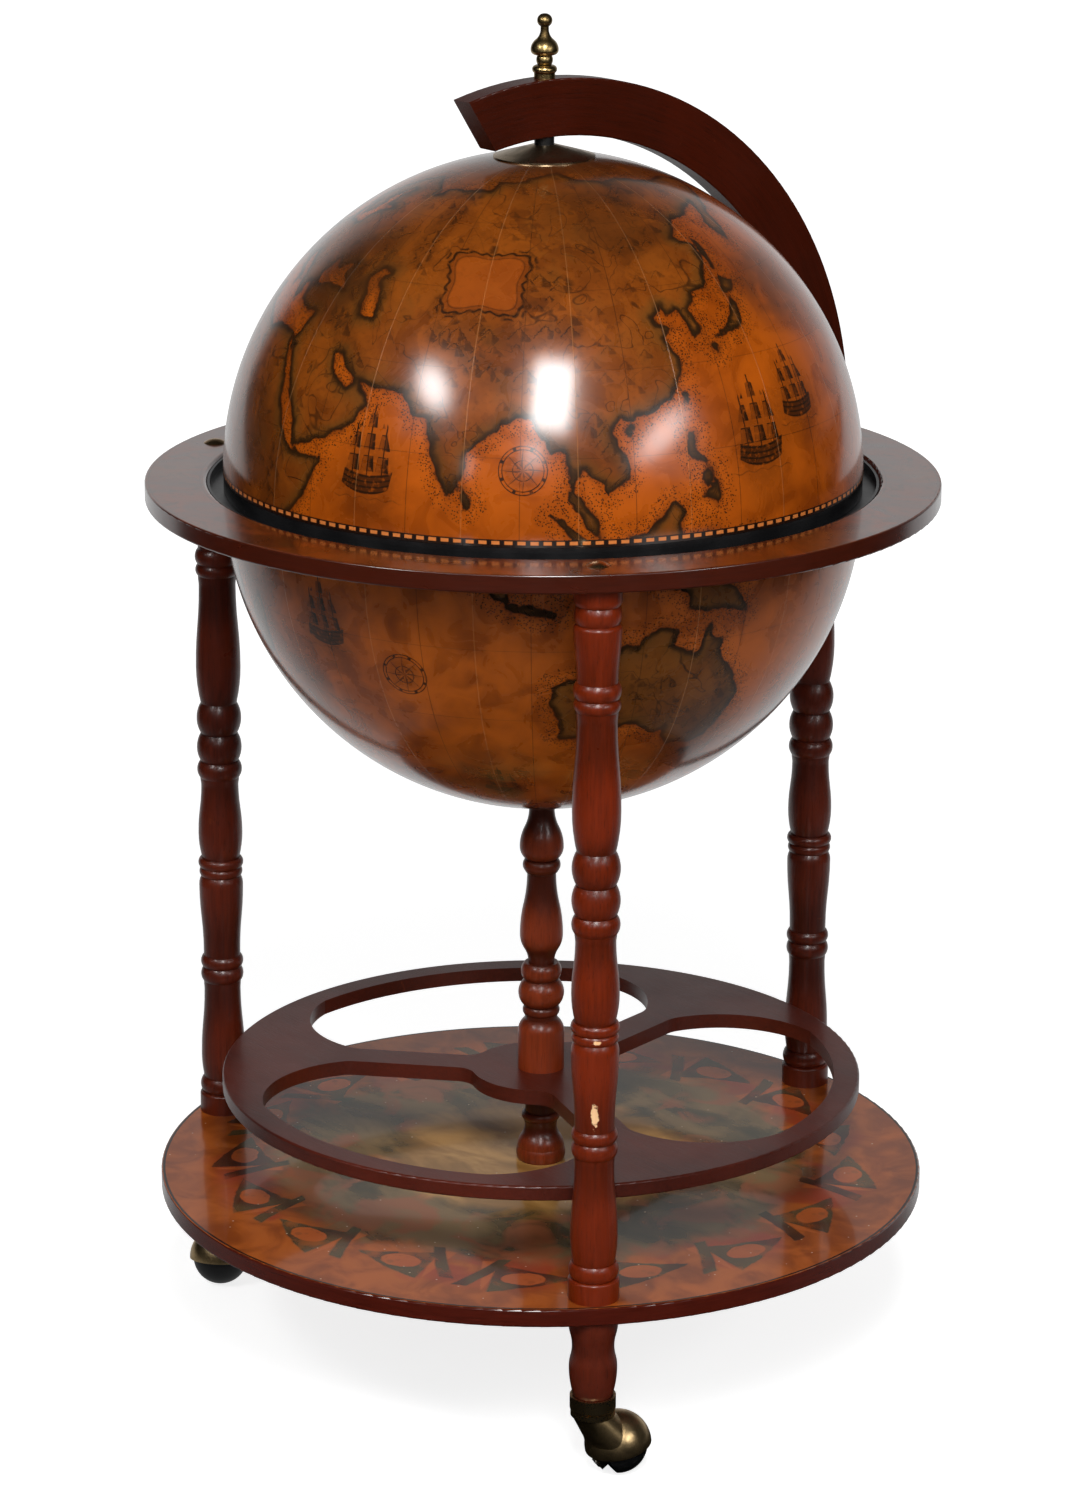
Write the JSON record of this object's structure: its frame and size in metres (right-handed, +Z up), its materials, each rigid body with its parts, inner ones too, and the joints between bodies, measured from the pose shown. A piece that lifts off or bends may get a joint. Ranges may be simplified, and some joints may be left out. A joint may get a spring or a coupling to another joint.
{
  "type": "globe bar",
  "caption": "Floor-standing globe drinks cabinet: hinged globe in a flat horizon ring on turned legs, with a bottle rack, a round shelf and ball castors.",
  "frame": {"origin": "on the floor, under the globe's axis", "axes": "+Z up, +Y to the back where the lid is hinged, +X to the right seen from the front"},
  "size_m": [0.5199, 0.52, 0.9009],
  "materials": {
    "mahogany": "mahogany-stained turned beech and veneered board, semi-gloss varnish",
    "printed_shell": "moulded shell with an antique-style printed map, varnished",
    "black_trim": "satin black lacquer",
    "aged_brass": "antiqued brass, dark in the recesses",
    "steel": "plain zinc-plated",
    "castor_ball": "black moulded ball, satin"
  },
  "bodies": {
    "stand": {"base_shelf": "mahogany", "horizon_ring": "mahogany", "bottle_rack": "mahogany", "upper_post": "mahogany", "lower_post": "mahogany", "post_stud": "steel", "shelf_screw": "steel", "bowl": "printed_shell", "bowl_bolt": "steel", "bowl_washer": "steel", "ring_lining": "black_trim", "tray_ledge": "black_trim", "serving_tray": "mahogany", "bottle_floor": "mahogany", "hinge_ring_leaf": "aged_brass", "hinge_pin": "steel", "ring_leaf_screws": "steel", "hinge_leg_bolt": "steel", "leg_studs": "steel", "leg_cap_bolts": "aged_brass", "leg_right": "mahogany", "leg_left": "mahogany", "leg_back": "mahogany", "foot_right": "mahogany", "foot_left": "mahogany", "foot_back": "mahogany", "castor_ferrule_right": "aged_brass", "castor_ferrule_left": "aged_brass", "castor_ferrule_back": "aged_brass"},
    "lid": {"dome": "printed_shell", "lid_band": "black_trim", "meridian_arm": "mahogany", "pole_cap": "aged_brass", "arm_spacer": "black_trim", "finial": "aged_brass", "pole_bolt": "steel", "pole_nut": "steel", "pole_washer": "steel", "hinge_arm_leaf": "aged_brass", "arm_leaf_screws": "steel"},
    "castor_right": {"castor_hood_right": "aged_brass", "castor_axle_right": "steel"},
    "ball_right": {"castor_ball_right": "castor_ball"},
    "castor_left": {"castor_hood_left": "aged_brass", "castor_axle_left": "steel"},
    "ball_left": {"castor_ball_left": "castor_ball"},
    "castor_back": {"castor_hood_back": "aged_brass", "castor_axle_back": "steel"},
    "ball_back": {"castor_ball_back": "castor_ball"}
  },
  "joints": [
    {"name": "lid_hinge", "type": "hinge", "parent": "stand", "child": "lid", "pos_m": [0, 0.257, 0.599], "axis": [-1, 0, 0], "range_deg": [0, 95]},
    {"name": "castor_swivel_right", "type": "hinge", "parent": "stand", "child": "castor_right", "pos_m": [0.20585, -0.11885, 0.045], "axis": [0, 0, 1], "continuous": true},
    {"name": "ball_spin_right", "type": "hinge", "parent": "castor_right", "child": "ball_right", "pos_m": [0.2099, -0.10131, 0.019], "axis": [0.1843, 0.7982, 0.5736], "continuous": true},
    {"name": "castor_swivel_left", "type": "hinge", "parent": "stand", "child": "castor_left", "pos_m": [-0.20585, -0.11885, 0.045], "axis": [0, 0, 1], "continuous": true},
    {"name": "ball_spin_left", "type": "hinge", "parent": "castor_left", "child": "ball_left", "pos_m": [-0.19335, -0.1318, 0.019], "axis": [0.569, -0.5892, 0.5736], "continuous": true},
    {"name": "castor_swivel_back", "type": "hinge", "parent": "stand", "child": "castor_back", "pos_m": [0, 0.2377, 0.045], "axis": [0, 0, 1], "continuous": true},
    {"name": "ball_spin_back", "type": "hinge", "parent": "castor_back", "child": "ball_back", "pos_m": [-0.01691, 0.23154, 0.019], "axis": [-0.7698, -0.2802, 0.5736], "continuous": true}
  ]
}
